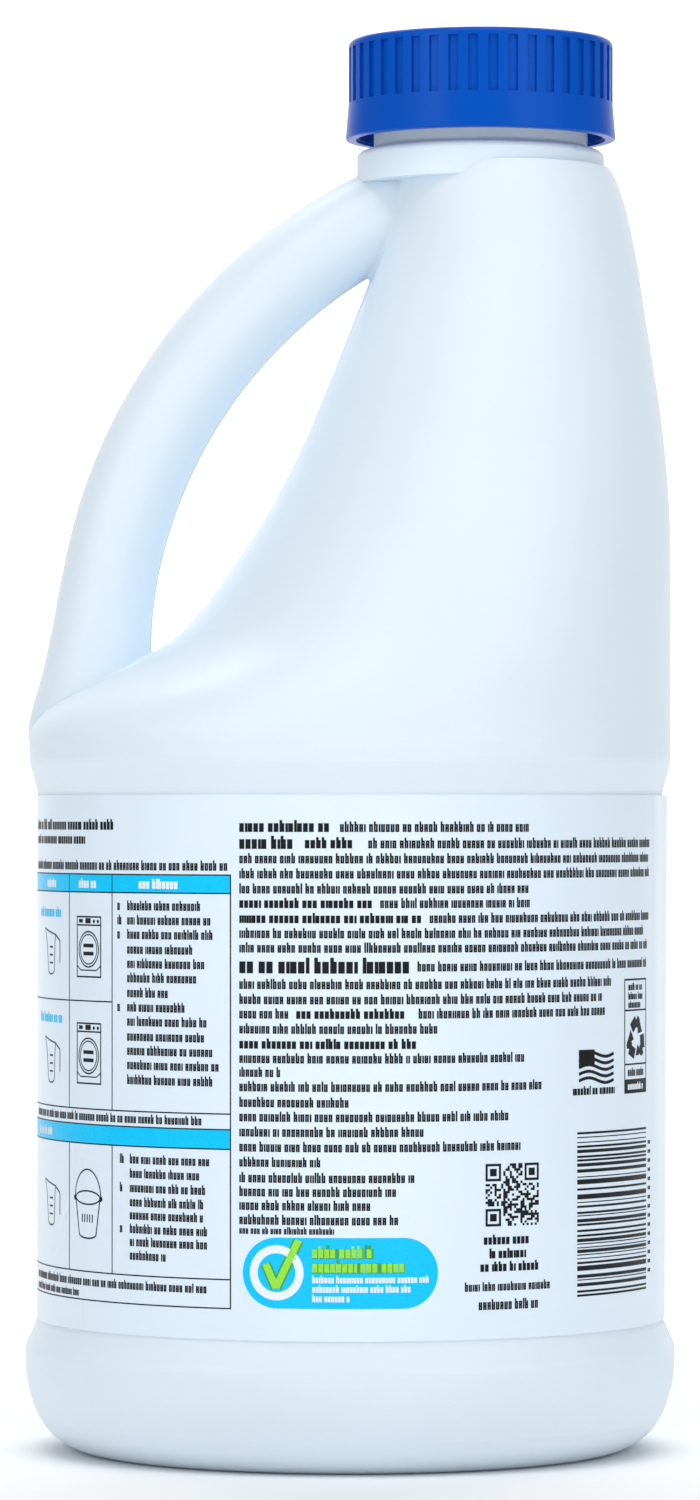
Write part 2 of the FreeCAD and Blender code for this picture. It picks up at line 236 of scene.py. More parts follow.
@dataclass(frozen=True)
class LabelFilm:
    """The label's plastic film, smooth, with a faint ripple from shrinking on."""

    name: str = "label_film"
    colour: Colour = (0.72, 0.835, 0.935)
    roughness: float = 0.3
    ripple_scale: float = 60.0
    ripple_stretch: tuple[float, float, float] = (1.0, 1.0, 0.25)
    ripple_height: float = 0.00003
    ripple_strength: float = 0.25

    def make(self) -> bpy.types.Material:
        """Build the material.

        Returns:
            The material for the film.
        """
        bench = NodeBench(self.name)
        place = bench.place()
        place.inputs["Scale"].default_value = self.ripple_stretch
        clouds = bench.noise(place, self.ripple_scale, 2.0)
        share = bench.spread(clouds, 0.0, 1.0)
        shades = bench.blend(share, tint(self.colour, 0.985), tint(self.colour, 1.01))
        bench.join(shades, "Color", bench.shader, "Base Color")
        gloss = bench.spread(clouds, self.roughness * 0.9, self.roughness * 1.1)
        bench.join(gloss, "Result", bench.shader, "Roughness")
        bench.raise_from(clouds, self.ripple_height, self.ripple_strength)
        return bench.material


@dataclass(frozen=True)
class PrintInk:
    """One ink on the film, a little uneven as print is."""

    name: str
    colour: Colour
    roughness: float = 0.38
    shine: float = 0.15
    speck_scale: float = 4000.0

    def make(self) -> bpy.types.Material:
        """Build the material.

        Returns:
            The material for shapes in this ink.
        """
        bench = NodeBench(self.name)
        bench.shader.inputs["Specular IOR Level"].default_value = self.shine
        specks = bench.noise(bench.place(), self.speck_scale, 2.0)
        share = bench.spread(specks, 0.0, 1.0)
        shades = bench.blend(share, tint(self.colour, 0.93), tint(self.colour, 1.05))
        bench.join(shades, "Color", bench.shader, "Base Color")
        gloss = bench.spread(specks, self.roughness * 0.9, self.roughness * 1.15)
        bench.join(gloss, "Result", bench.shader, "Roughness")
        return bench.material


@dataclass(frozen=True)
class SealFoil:
    """Bright rolled foil with fine creases."""

    name: str = "seal_foil"
    colour: Colour = (0.82, 0.83, 0.85)
    roughness: Pair = (0.2, 0.34)
    crease_scale: float = 420.0
    crease_height: float = 0.00015
    crease_strength: float = 0.5

    def make(self) -> bpy.types.Material:
        """Build the material.

        Returns:
            The material for the foil.
        """
        bench = NodeBench(self.name)
        bench.shader.inputs["Metallic"].default_value = 1.0
        creases = bench.noise(bench.place(), self.crease_scale, 5.0)
        shades = bench.blend(bench.spread(creases, 0.0, 1.0), tint(self.colour, 0.9), self.colour)
        bench.join(shades, "Color", bench.shader, "Base Color")
        bench.join(bench.spread(creases, *self.roughness), "Result", bench.shader, "Roughness")
        bench.raise_from(creases, self.crease_height, self.crease_strength)
        return bench.material


@dataclass(frozen=True)
class LinerFoam:
    """Closed-cell foam, matt and finely pitted."""

    name: str = "liner_foam"
    colour: Colour = (0.86, 0.87, 0.85)
    roughness: float = 0.8
    cell_scale: float = 3200.0
    pit_height: float = 0.00008
    pit_strength: float = 0.6

    def make(self) -> bpy.types.Material:
        """Build the material.

        Returns:
            The material for the liner.
        """
        bench = NodeBench(self.name)
        place = bench.place()
        cells = bench.add("ShaderNodeTexVoronoi", Scale=self.cell_scale)
        bench.join(place, "Vector", cells, "Vector")
        shades = bench.blend(cells, tint(self.colour, 0.9), self.colour)
        bench.join(shades, "Color", bench.shader, "Base Color")
        bench.shader.inputs["Roughness"].default_value = self.roughness
        bench.raise_from(cells, self.pit_height, self.pit_strength)
        return bench.material


@dataclass(frozen=True)
class BleachLiquid:
    """Thin, faintly yellow-green liquid."""

    name: str = "bleach"
    colour: Colour = (0.86, 0.93, 0.72)
    clearness: float = 0.9
    refraction: float = 1.34
    roughness: float = 0.02
    cloud_scale: float = 18.0

    def make(self) -> bpy.types.Material:
        """Build the material.

        Returns:
            The material for the liquid.
        """
        bench = NodeBench(self.name)
        bench.shader.inputs["Transmission Weight"].default_value = self.clearness
        bench.shader.inputs["IOR"].default_value = self.refraction
        bench.shader.inputs["Roughness"].default_value = self.roughness
        clouds = bench.noise(bench.place(), self.cloud_scale, 2.0)
        shades = bench.blend(bench.spread(clouds, 0.0, 1.0), tint(self.colour, 0.97), self.colour)
        bench.join(shades, "Color", bench.shader, "Base Color")
        return bench.material


@dataclass(frozen=True)
class PaleFloor:
    """The studio's pale matt sweep."""

    name: str = "pale_floor"
    colour: Colour = (0.93, 0.93, 0.93)
    roughness: float = 0.9
    cloud_scale: float = 2.0

    def make(self) -> bpy.types.Material:
        """Build the material.

        Returns:
            The material for the floor.
        """
        bench = NodeBench(self.name)
        clouds = bench.noise(bench.place(), self.cloud_scale, 2.0)
        shades = bench.blend(bench.spread(clouds, 0.0, 1.0), tint(self.colour, 0.995), self.colour)
        bench.join(shades, "Color", bench.shader, "Base Color")
        bench.shader.inputs["Roughness"].default_value = self.roughness
        return bench.material


# ---- shared mesh work -------------------------------------------------------------------------


def new_piece(
    name: str, mesh: bpy.types.Mesh, material: bpy.types.Material, body: str
) -> bpy.types.Object:
    """Put a mesh in the scene as a piece that rides on a body.

    Args:
        name: the piece's name.
        mesh: its mesh, in metres in the row's frame.
        material: its finish.
        body: the body that it moves with.

    Returns:
        The new object.
    """
    piece = bpy.data.objects.new(name, mesh)
    bpy.context.scene.collection.objects.link(piece)
    piece.data.materials.clear()
    piece.data.materials.append(material)
    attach(piece, body)
    return piece


def dress(node: str, material: bpy.types.Material) -> bpy.types.Object:
    """Give a node of the frame its finish.

    Args:
        node: the node's name.
        material: the finish.

    Returns:
        The node's object.
    """
    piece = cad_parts[node]
    piece.data.materials.clear()
    piece.data.materials.append(material)
    return piece


def mesh_from(
    name: str, points: list[Vector], faces: list[tuple[int, ...]], smooth: bool
) -> bpy.types.Mesh:
    """Make a mesh from points and faces.

    Args:
        name: the mesh's name.
        points: its corners, in metres.
        faces: the corner numbers of each face.
        smooth: whether it is shaded smooth.

    Returns:
        The mesh.
    """
    mesh = bpy.data.meshes.new(name)
    mesh.from_pydata(points, [], faces)
    mesh.validate()
    mesh.polygons.foreach_set("use_smooth", [smooth] * len(mesh.polygons))
    mesh.update()
    return mesh


# ---- bottle -----------------------------------------------------------------------------------


@dataclass
class Bottle:
    """The blow-moulded bottle and the fine seam that its mould leaves on the middle plane.

    The seam is an oval ridge, wider than high. The closeness values say how near points lie that
    count as one, or as on the plane.
    """

    seam_radius: float = 0.16 * MM
    seam_widening: float = 2.2
    seam_sides: int = 6
    seam_foot: float = 0.4 * MM
    shortest_run: float = 0.001 * MM
    wall_closeness: float = 0.002 * MM
    plane_closeness: float = 0.01 * MM
    cut_closeness: float = 0.0001 * MM
    seam_closeness: float = 0.03 * MM
    plastic: MouldedPlastic = MouldedPlastic(
        name="bottle_plastic", colour=(0.735, 0.86, 0.97), roughness=0.42, glow=0.25, variation=0.012
    )

    def build(self) -> None:
        """Dress the bottle and lay its seam."""
        material = self.plastic.make()
        node = dress("bottle_body", material)
        self.lay_seam(node, material)

    def lay_seam(self, node: bpy.types.Object, material: bpy.types.Material) -> None:
        """Lay the seam where the middle plane cuts the bottle, outside and inside.

        Args:
            node: the bottle's object.
            material: the bottle's finish.
        """
        cut = bmesh.new()
        cut.from_mesh(node.data)
        bmesh.ops.remove_doubles(cut, verts=cut.verts[:], dist=self.wall_closeness)
        whole = cut.verts[:] + cut.edges[:] + cut.faces[:]
        line = bmesh.ops.bisect_plane(
            cut, geom=whole, plane_co=(0, 0, 0), plane_no=(0, 1, 0), dist=self.cut_closeness
        )
        edges = {item for item in line["geom_cut"] if isinstance(item, bmesh.types.BMEdge)}
        keep = {vert for edge in edges for vert in edge.verts}
        bmesh.ops.delete(cut, geom=[vert for vert in cut.verts if vert not in keep], context="VERTS")
        loose = [edge for edge in cut.edges if edge not in edges]
        bmesh.ops.delete(cut, geom=loose, context="EDGES")
        mesh = bpy.data.meshes.new("bottle_mould_seam")
        cut.to_mesh(mesh)
        cut.free()
        seam = new_piece("bottle_mould_seam", mesh, material, "bottle")
        self.thicken(seam)

    def thicken(self, seam: bpy.types.Object) -> None:
        """Turn the seam's line into a fine ridge, except where it runs along the floor.

        Args:
            seam: the object whose edges form the line.
        """
        lines = seam.data
        work = bmesh.new()
        across = Vector((0, 1, 0))
        points = [vert.co.copy() for vert in lines.vertices]
        for edge in lines.edges:
            start, end = (points[i] for i in edge.vertices)
            along = end - start
            off_plane = max(abs(start.y), abs(end.y)) > self.plane_closeness
            if along.length < self.shortest_run or off_plane or min(start.z, end.z) < self.seam_foot:
                continue
            up = along.cross(across).normalized()
            rings = []
            for centre in (start, end):
                ring = []
                for step in range(self.seam_sides):
                    turn = math.tau * step / self.seam_sides
                    offset = across * (self.seam_widening * math.cos(turn)) + up * math.sin(turn)
                    ring.append(work.verts.new(centre + offset * self.seam_radius))
                rings.append(ring)
            for step in range(self.seam_sides):
                after = (step + 1) % self.seam_sides
                work.faces.new((rings[0][step], rings[0][after], rings[1][after], rings[1][step]))
        bmesh.ops.remove_doubles(work, verts=work.verts[:], dist=self.seam_closeness)
        bmesh.ops.recalc_face_normals(work, faces=work.faces[:])
        work.to_mesh(lines)
        work.free()
        lines.polygons.foreach_set("use_smooth", [True] * len(lines.polygons))


# ---- label ------------------------------------------------------------------------------------


class Weight(Enum):
    """How heavy blind text is: a letter's width and a stroke's width, as shares of its height."""

    LIGHT = (0.45, 0.172)
    BOLD = (0.5, 0.23)


class Ink(Enum):
    """The inks of the label, each with its level above the film."""

    BLACK = ("black", 0)
    CYAN = ("cyan", 0)
    GREEN = ("green", 1)
    WHITE = ("white", 1)
    LIME = ("lime", 2)


class FlatPrint:
    """Flat shapes drawn on the unrolled label, and then wrapped round the drum.

    Places are in millimetres: along the film from its front line, and up from the foot. The
    chances and shares shape the blind text: how often a tick is tall or has a partner, how high a
    low tick stands, how thick a cross stroke is, and how wide the steps between groups are.
    """

    ROUND_STEPS = 16
    TALL_CHANCE = 0.22
    PAIR_CHANCE = 0.86
    LOW_SHARE = 0.74
    CROSS_SHARE = 0.8
    PAIR_SHARE = 0.82
    SINGLE_SHARE = 0.5
    GAP_SHARE = 0.55
    LEAST_ROOM = 1.5
    GROUP_SIZES = (2, 3, 4, 4, 5, 6, 7, 8, 9)
    CROSS_LEVELS = ((0.0,), (1.0,), (0.0, 1.0), (0.5, 1.0), (0.0, 0.5))

    def __init__(self, radius: float, longest: float = 1.1) -> None:
        """Start with no shapes.

        Args:
            radius: the drum's radius in millimetres.
            longest: the longest stretch along the film that one flat face may span.
        """
        self.radius = radius
        self.longest = longest
        self.points: list[Vector] = []
        self.faces: list[tuple[int, ...]] = []

    def wrap(self, along: float, up: float) -> Vector:
        """The point of the drum for a place on the unrolled label."""
        turn = along / self.radius
        return Vector((math.sin(turn) * self.radius, -math.cos(turn) * self.radius, up)) * MM

    def strip(self, columns: list[tuple[float, float, float]]) -> None:
        """Add a shape as upright columns, each a place along with a lower and an upper height.

        Args:
            columns: (along, low, high) from left to right.
        """
        first = len(self.points)
        for along, low, high in columns:
            self.points += [self.wrap(along, low), self.wrap(along, high)]
        for i in range(first, first + 2 * len(columns) - 2, 2):
            self.faces.append((i, i + 2, i + 3, i + 1))

    def box(self, left: float, low: float, right: float, high: float) -> None:
        """Add an upright rectangle."""
        count = max(1, math.ceil((right - left) / self.longest))
        self.strip([(left + (right - left) * i / count, low, high) for i in range(count + 1)])

    def frame(self, left: float, low: float, right: float, high: float, width: float) -> None:
        """Add the outline of an upright rectangle.

        Args:
            left: its left side.
            low: its foot.
            right: its right side.
            high: its top.
            width: how wide its lines are, inside these.
        """
        self.box(left, high - width, right, high)
        self.box(left, low, right, low + width)
        self.box(left, low + width, left + width, high - width)
        self.box(right - width, low + width, right, high - width)

    def pill(self, left: float, low: float, right: float, high: float) -> None:
        """Add a bar with round ends.

        Args:
            left: its left end.
            low: its foot.
            right: its right end.
            high: its top.
        """
        half, middle = (high - low) / 2, (high + low) / 2
        columns = []
        for i in range(self.ROUND_STEPS + 1):
            turn = math.pi / 2 * i / self.ROUND_STEPS
            reach = half * math.sin(turn)
            columns.append((left + half - half * math.cos(turn), middle - reach, middle + reach))
        count = max(1, math.ceil((right - left - 2 * half) / self.longest))
        inner = (right - left - 2 * half) / count
        columns += [(left + half + inner * i, low, high) for i in range(1, count)]
        left_end = columns[: self.ROUND_STEPS + 1]
        columns += [(left + right - along, bottom, top) for along, bottom, top in reversed(left_end)]
        self.strip(columns)

    def ring(self, along: float, up: float, outer: float, inner: float, parts: int = 40) -> None:
        """Add a ring, or a disc where the inner radius is nought.

        Args:
            along: its middle along the film.
            up: its middle's height.
            outer: its outer radius.
            inner: its inner radius.
            parts: how many faces it has.
        """
        if inner <= 0:
            self.pill(along - outer, up - outer, along + outer, up + outer)
            return
        first = len(self.points)
        for i in range(parts):
            turn = math.tau * i / parts
            for reach in (inner, outer):
                self.points.append(self.wrap(along + reach * math.cos(turn), up + reach * math.sin(turn)))
        for i in range(parts):
            a, b = first + 2 * i, first + 2 * ((i + 1) % parts)
            self.faces.append((a, a + 1, b + 1, b))

    def stroke(self, path: list[Place], width: float) -> None:
        """Add a line of a width through places, in short pieces.

        Args:
            path: the places that it passes.
            width: its width in millimetres.
        """
        for (x0, z0), (x1, z1) in zip(path, path[1:]):
            length = math.hypot(x1 - x0, z1 - z0)
            if length < 1e-6:
                continue
            side_x, side_z = -(z1 - z0) / length * width / 2, (x1 - x0) / length * width / 2
            count = max(1, math.ceil(abs(x1 - x0) / self.longest))
            first = len(self.points)
            for i in range(count + 1):
                along, up = x0 + (x1 - x0) * i / count, z0 + (z1 - z0) * i / count
                self.points.append(self.wrap(along - side_x, up - side_z))
                self.points.append(self.wrap(along + side_x, up + side_z))
            for i in range(first, first + 2 * count, 2):
                self.faces.append((i, i + 2, i + 3, i + 1))

    def arc(
        self, along: float, up: float, wide: float, tall: float, start: float, end: float
    ) -> list[Place]:
        """Find the places along part of an oval.

        Args:
            along: its middle along the film.
            up: its middle's height.
            wide: its radius along the film.
            tall: its upright radius.
            start: the angle where it starts, in degrees.
            end: the angle where it ends, in degrees.

        Returns:
            The places, in order.
        """
        turns = [
            math.radians(start + (end - start) * i / self.ROUND_STEPS) for i in range(self.ROUND_STEPS + 1)
        ]
        return [(along + wide * math.cos(turn), up + tall * math.sin(turn)) for turn in turns]

    def patch(self, corners: list[Place]) -> None:
        """Add a small flat face.

        Args:
            corners: the places of its corners, in order.
        """
        first = len(self.points)
        self.points += [self.wrap(along, up) for along, up in corners]
        self.faces.append(tuple(range(first, first + len(corners))))

    def words(
        self,
        dice: random.Random,
        left: float,
        right: float,
        up: float,
        size: float,
        weight: Weight = Weight.LIGHT,
    ) -> None:
        """Add a line of blind text: pairs of upright ticks in groups, as words look from afar.

        Args:
            dice: where the chances come from.
            left: where the line starts.
            right: where it ends.
            up: the height of its foot.
            size: the height of its ticks.
            weight: how heavy it looks.
        """
        cell, width = (share * size for share in weight.value)
        low, cross = self.LOW_SHARE * size, self.CROSS_SHARE * width
        along = left
        while along < right - self.LEAST_ROOM * cell:
            for _ in range(dice.choice(self.GROUP_SIZES)):
                if along > right - cell:
                    break
                tall = size if dice.random() < self.TALL_CHANCE else low
                self.box(along, up, along + width, up + tall)
                if dice.random() < self.PAIR_CHANCE:
                    second = along + cell * self.PAIR_SHARE - width
                    self.box(second, up, second + width, up + low)
                    for level in dice.choice(self.CROSS_LEVELS):
                        height = up + level * (low - cross)
                        self.box(along + width, height, second, height + cross)
                    along += cell
                else:
                    along += cell * self.SINGLE_SHARE
            along += cell * self.GAP_SHARE

    def mesh(self, name: str) -> bpy.types.Mesh:
        """Make the mesh of everything added so far."""
        return mesh_from(name, self.points, self.faces, smooth=False)


@dataclass(frozen=True)
class TextLine:
    """A line of blind text on the label, in millimetres."""

    left: float
    right: float
    up: float
    size: float = 1.55
    weight: Weight = Weight.LIGHT


@dataclass
class WrapLabel:
    """The film round the panel, its lap, and everything printed on it.

    Lengths are in millimetres. The lap's places, and the ramp where the film climbs on to its own
    start, are in degrees round from the front. Each level of ink stands one lift above the last.
    """

    thickness: float = 0.12
    lap_start: float = 73.4
    lap_end: float = 86.5
    lap_crease: float = 80.0
    lap_flare: float = 0.65
    flare_at_foot: float = 0.25
    ramp: float = 1.1
    film_columns: int = 420
    film_rows: int = 12
    film_hem: float = 0.25
    sharpest_bend: float = 40.0
    lift: float = 0.02
    table_left: float = -78.5
    table_right: float = -19.4
    first_column: float = -55.9
    second_column: float = -43.3
    line_width: float = 0.22
    picture_line: float = 0.26
    table_seed: int = 11
    text_seed: int = 5
    badge_seed: int = 3
    code_seed: int = 29
    panel_seed: int = 17
    film: LabelFilm = field(default_factory=LabelFilm)
    black: PrintInk = PrintInk("black_ink", (0.007, 0.008, 0.01))
    cyan: PrintInk = PrintInk("cyan_ink", (0.0, 0.56, 0.97), 0.3)
    lime: PrintInk = PrintInk("lime_ink", (0.3, 0.76, 0.06), 0.35)
    green: PrintInk = PrintInk("green_ink", (0.05, 0.36, 0.07), 0.35)
    white: PrintInk = PrintInk("white_ink", (0.8, 0.88, 0.95), 0.35)
    radius: float = field(init=False)
    foot: float = field(init=False)
    top: float = field(init=False)

    def build(self) -> None:
        """Lay the film and print on it."""
        low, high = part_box("wrap_label")
        self.radius = -low.x / MM
        self.foot, self.top = low.z / MM, high.z / MM
        self.lay_film()
        layers = {ink: FlatPrint(self.radius + self.lift * (ink.value[1] + 1)) for ink in Ink}
        self.print_table(layers)
        self.print_text(layers[Ink.BLACK])
        self.print_badge(layers)
        self.print_codes(layers[Ink.BLACK])
        self.print_recycling_panel(layers)
        self.print_striped_block(layers[Ink.BLACK])
        finishes = {
            Ink.BLACK: self.black,
            Ink.CYAN: self.cyan,
            Ink.GREEN: self.green,
            Ink.WHITE: self.white,
            Ink.LIME: self.lime,
        }
        for ink, finish in finishes.items():
            name = ink.value[0]
            new_piece(f"label_print_{name}", layers[ink].mesh(name), finish.make(), "bottle")

    def lay_film(self) -> None:
        """Build the film as one strip whose end laps over its start."""
        steps, span, tallness = self.film_columns, 360 + self.lap_end - self.lap_start, self.top - self.foot
        turns = [math.radians(self.lap_start + span * i / steps) for i in range(steps + 1)]
        heights = [self.foot, self.foot + self.film_hem, self.top - self.film_hem, self.top]
        heights[2:2] = [self.foot + tallness * i / self.film_rows for i in range(1, self.film_rows)]
        points, faces = [], []
        inner_radius = self.radius - self.thickness
        for turn in turns:
            place = math.degrees(turn) - 360
            share = min(1.0, max(0.0, (place - self.lap_start + self.ramp) / self.ramp))
            rise = self.thickness * share * share * (3 - 2 * share)
            flare = self.lap_flare * max(0.0, place - self.lap_crease) / (self.lap_end - self.lap_crease)
            for radius in (inner_radius + rise, inner_radius + rise + self.thickness):
                for height in heights:
                    loose = self.flare_at_foot + (1 - self.flare_at_foot) * (height - self.foot) / tallness
                    reach = radius + flare * loose
                    points.append(Vector((math.sin(turn) * reach, -math.cos(turn) * reach, height)) * MM)
        tall = len(heights)
        row = 2 * tall
        for i in range(steps):
            here, there = i * row, (i + 1) * row
            for j in range(tall - 1):
                faces.append((here + j, here + j + 1, there + j + 1, there + j))
                faces.append((here + tall + j, there + tall + j, there + tall + j + 1, here + tall + j + 1))
            faces.append((here, there, there + tall, here + tall))
            faces.append((here + tall - 1, here + row - 1, there + row - 1, there + tall - 1))
        for end in (0, steps * row):
            for j in range(tall - 1):
                faces.append((end + j, end + tall + j, end + tall + j + 1, end + j + 1))
        mesh = mesh_from("wrap_label_film", points, faces, smooth=True)
        piece = new_piece("wrap_label_film", mesh, self.film.make(), "bottle")
        mesh.set_sharp_from_angle(angle=math.radians(self.sharpest_bend))
        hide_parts("wrap_label")

    def print_table(self, layers: dict[Ink, FlatPrint]) -> None:
        """Print the table of directions: its bands, lines, headings, text and pictures.

        Args:
            layers: the flat print of each ink.
        """
        black, cyan, white = layers[Ink.BLACK], layers[Ink.CYAN], layers[Ink.WHITE]
        dice = random.Random(self.table_seed)
        self.rule_table(black, cyan)
        for start, end in ((-66.0, -60.5), (-52.5, -46.8), (-37.0, -27.6)):
            white.words(dice, start, end, 93.75, 1.6, Weight.BOLD)
        white.words(dice, -72.0, -62.0, 53.1, 1.5)
        rows = [91.0, 88.7, 86.4, 84.0, 81.7, 79.4, 77.0, 74.7, 72.4, 70.0, 67.7, 65.4, 63.0]
        ends = [-24.0, -22.4, -22.2, -25.5, -23.6, -24.8, -30.2, -26.6, -23.4, -22.6, -22.2, -21.2, -22.4]
        for row, (height, end) in enumerate(zip(rows, ends)):
            black.words(dice, -39.6, end, height - 0.75, 1.6)
            if row in (0, 1, 2, 7):
                black.words(dice, -41.9, -40.6, height - 0.75, 1.6)
        rows = [50.2, 47.9, 45.6, 43.3, 41.2, 39.0, 36.9, 34.7]
        ends = [-22.9, -24.8, -22.6, -24.2, -23.8, -23.0, -23.4, -31.2]
        for row, (height, end) in enumerate(zip(rows, ends)):
            black.words(dice, -39.0, end, height - 0.7, 1.55)
            if row in (0, 2, 5):
                black.words(dice, -41.3, -40.1, height - 0.7, 1.55)
        black.words(dice, -74.0, -24.0, 56.0, 1.5)
        black.words(dice, -74.0, -22.4, 29.2, 1.5)
        black.words(dice, -74.0, -52.0, 27.4, 1.3)
        for start, end, height in ((-71.0, -58.6, 88.9), (-71.0, -58.0, 71.6)):
            cyan.words(dice, start, end, height, 1.7, Weight.BOLD)
        for height in (79.4, 61.6, 38.2):
            self.print_jug(black, -63.8, height)
        for height in (79.2, 61.9):
            self.print_washer(black, -53.2, height)
        self.print_bucket(black, -49.9, 36.9)

    def rule_table(self, black: FlatPrint, cyan: FlatPrint) -> None:
        """Print the table's two coloured bands and its lines.

        Args:
            black: the print that the lines go on.
            cyan: the print that the bands go on.
        """
        left, right, width = self.table_left, self.table_right, self.line_width
        upper_band, lower_band, top = (93.2, 95.9), (52.4, 55.3), 96.1
        upper_foot, upper_middle, lower_foot, foot = 57.8, 75.3, 31.4, 26.8
        for low, high in (upper_band, lower_band):
            cyan.box(left, low, right, high)
            black.box(left, high, right, high + width)
            black.box(left, low - width, right, low)
        for height in (upper_foot, lower_foot, foot):
            black.box(left, height, right, height + width)
        black.box(left, upper_middle, self.second_column, upper_middle + width)
        for along in (self.first_column, self.second_column):
            black.box(along, upper_foot, along + width, upper_band[1])
            black.box(along, lower_foot, along + width, lower_band[0])
        black.box(right - width, foot, right, top)
        black.box(left, foot, left + width, top)

    def print_jug(self, ink: FlatPrint, along: float, foot: float) -> None:
        """Print a measuring jug in outline.

        Args:
            ink: the print that it goes on.
            along: its middle along the film.
            foot: the height of its foot.
        """
        line = self.picture_line
        lip, back = (along - 3.6, foot + 7.6), (along + 2.2, foot + 6.6)
        path = [lip, (along - 2.4, foot + 5.2), (along - 1.6, foot + 1.0)]
        path += ink.arc(along, foot + 0.9, 1.6, 0.8, 180, 360)
        path += [(along + 1.9, foot + 5.4), back]
        ink.stroke(path, line)
        ink.stroke([lip, (along - 1.4, foot + 7.1), back], line)
        ink.stroke([back, (along + 4.2, foot + 5.6), (along + 4.2, foot + 2.0)], 0.3)
        for i in range(3):
            ink.box(along - 0.8, foot + 1.8 + 1.3 * i, along + 0.9, foot + 2.1 + 1.3 * i)

    def print_washer(self, ink: FlatPrint, left: float, foot: float) -> None:
        """Print a washing machine in outline.

        Args:
            ink: the print that it goes on.
            left: its left side along the film.
            foot: the height of its foot.
        """
        wide, tall = 7.2, 10.0
        right, top = left + wide, foot + tall
        ink.frame(left, foot, right, top, self.picture_line)
        ink.box(left, top - 1.6, right, top - 1.35)
        ink.box(left + 0.7, top - 1.1, left + 1.9, top - 0.5)
        ink.box(left + 2.7, top - 1.2, left + 4.3, top - 0.35)
        for along in (5.2, 6.3):
            ink.ring(left + along, top - 0.85, 0.3, 0.0)
        middle, centre = left + wide / 2, foot + 4.6
        ink.ring(middle, centre, 3.0, 2.75)
        ink.ring(middle, centre, 2.5, 2.3)
        for i in range(2):
            ink.box(middle - 1.5, centre - 1.0 + 1.3 * i, middle + 1.5, centre - 0.4 + 1.3 * i)
        low, side, slope = foot + 1.2, foot + 2.0, 1.3
        ink.stroke([(left, side), (left + slope, low), (right - slope, low), (right, side)], 0.2)

    def print_bucket(self, ink: FlatPrint, along: float, foot: float) -> None:
        """Print a bucket in outline.

        Args:
            ink: the print that it goes on.
            along: its middle along the film.
            foot: the height of its foot.
        """
        line, rim, base = self.picture_line, foot + 6.6, foot + 0.7
        rim_reach, base_reach, handle_reach = 3.6, 2.5, 3.8
        ink.stroke(ink.arc(along, rim, rim_reach, 1.1, 0, 360), line)
        for side in (-1, 1):
            ink.stroke([(along + side * rim_reach, rim), (along + side * base_reach, base)], line)
        ink.stroke(ink.arc(along, base, base_reach, 0.7, 180, 360), line)
        ink.stroke(ink.arc(along, rim, handle_reach, 4.6, 0, 180), line)
        for side in (-1, 1):
            ink.ring(along + side * handle_reach, rim - 0.1, 0.45, 0.0)
        for i in range(5):
            ink.box(along - 1.7 + 0.75 * i, foot + 2.6, along - 1.4 + 0.75 * i, foot + 3.9)

    def text_lines(self) -> list[TextLine]:
        """List the lines of blind text outside the table.

        Returns:
            The lines, block by block.
        """
        start = -18.0
        return [
            TextLine(-75.0, -41.1, 103.2, 1.75, Weight.BOLD),
            TextLine(-75.0, -49.8, 100.9, 1.65, Weight.BOLD),
            TextLine(-75.0, -19.8, 96.7, 1.65),
            TextLine(start, -2.4, 102.9, 1.9, Weight.BOLD),
            TextLine(-1.6, 31.1, 102.9, 1.7),
            TextLine(start, -8.0, 100.2, 2.1, Weight.BOLD),
            TextLine(-7.2, 2.0, 100.3, 1.8, Weight.BOLD),
            TextLine(2.9, 64.3, 100.3, 1.7),
            TextLine(start, 64.2, 97.9, 1.65),
            TextLine(start, 64.0, 95.5, 1.65),
            TextLine(start, 30.8, 93.1, 1.65),
            TextLine(start, 4.0, 90.8, 1.65, Weight.BOLD),
            TextLine(4.8, 30.8, 90.8, 1.65),
            TextLine(start, 12.0, 88.4, 1.65, Weight.BOLD),
            TextLine(12.8, 64.6, 88.4, 1.65),
            TextLine(start, 61.7, 86.0, 1.65),
            TextLine(start, 63.2, 83.7, 1.65),
            TextLine(start, 9.7, 80.4, 2.55, Weight.BOLD),
            TextLine(10.8, 63.0, 80.7, 1.65),
            TextLine(start, 50.8, 77.9, 1.65),
            TextLine(start, 47.6, 75.5, 1.65),
            TextLine(start, -9.4, 73.2, 1.65),
            TextLine(-8.6, 10.2, 73.2, 1.65, Weight.BOLD),
            TextLine(11.0, 47.8, 73.2, 1.65),
            TextLine(start, 14.2, 70.8, 1.65),
            TextLine(start, 11.4, 68.4, 1.65, Weight.BOLD),
            TextLine(start, 29.8, 66.1, 1.65),
            TextLine(start, -10.6, 63.9, 1.6),
            TextLine(start, 33.6, 61.6, 1.65),
            TextLine(start, 0.6, 59.1, 1.65),
            TextLine(start, 27.4, 56.8, 1.65),
            TextLine(start, 12.2, 54.4, 1.65),
            TextLine(start, 29.4, 52.0, 1.65),
            TextLine(start, -4.4, 49.6, 1.6),
            TextLine(start, 10.8, 47.1, 1.65),
            TextLine(start, 8.0, 44.9, 1.65),
            TextLine(start, 4.0, 42.7, 1.65),
            TextLine(start, 8.4, 40.4, 1.65),
            TextLine(start, -1.4, 38.9, 1.2),
            TextLine(22.0, 31.9, 37.0, 1.6, Weight.BOLD),
            TextLine(23.0, 31.0, 34.8, 1.6, Weight.BOLD),
            TextLine(21.4, 32.4, 32.7, 1.6, Weight.BOLD),
            TextLine(18.7, 35.6, 29.6, 1.5),
            TextLine(21.1, 33.0, 26.6, 1.7),
            TextLine(39.6, 51.2, 60.4, 1.45, Weight.BOLD),
        ]

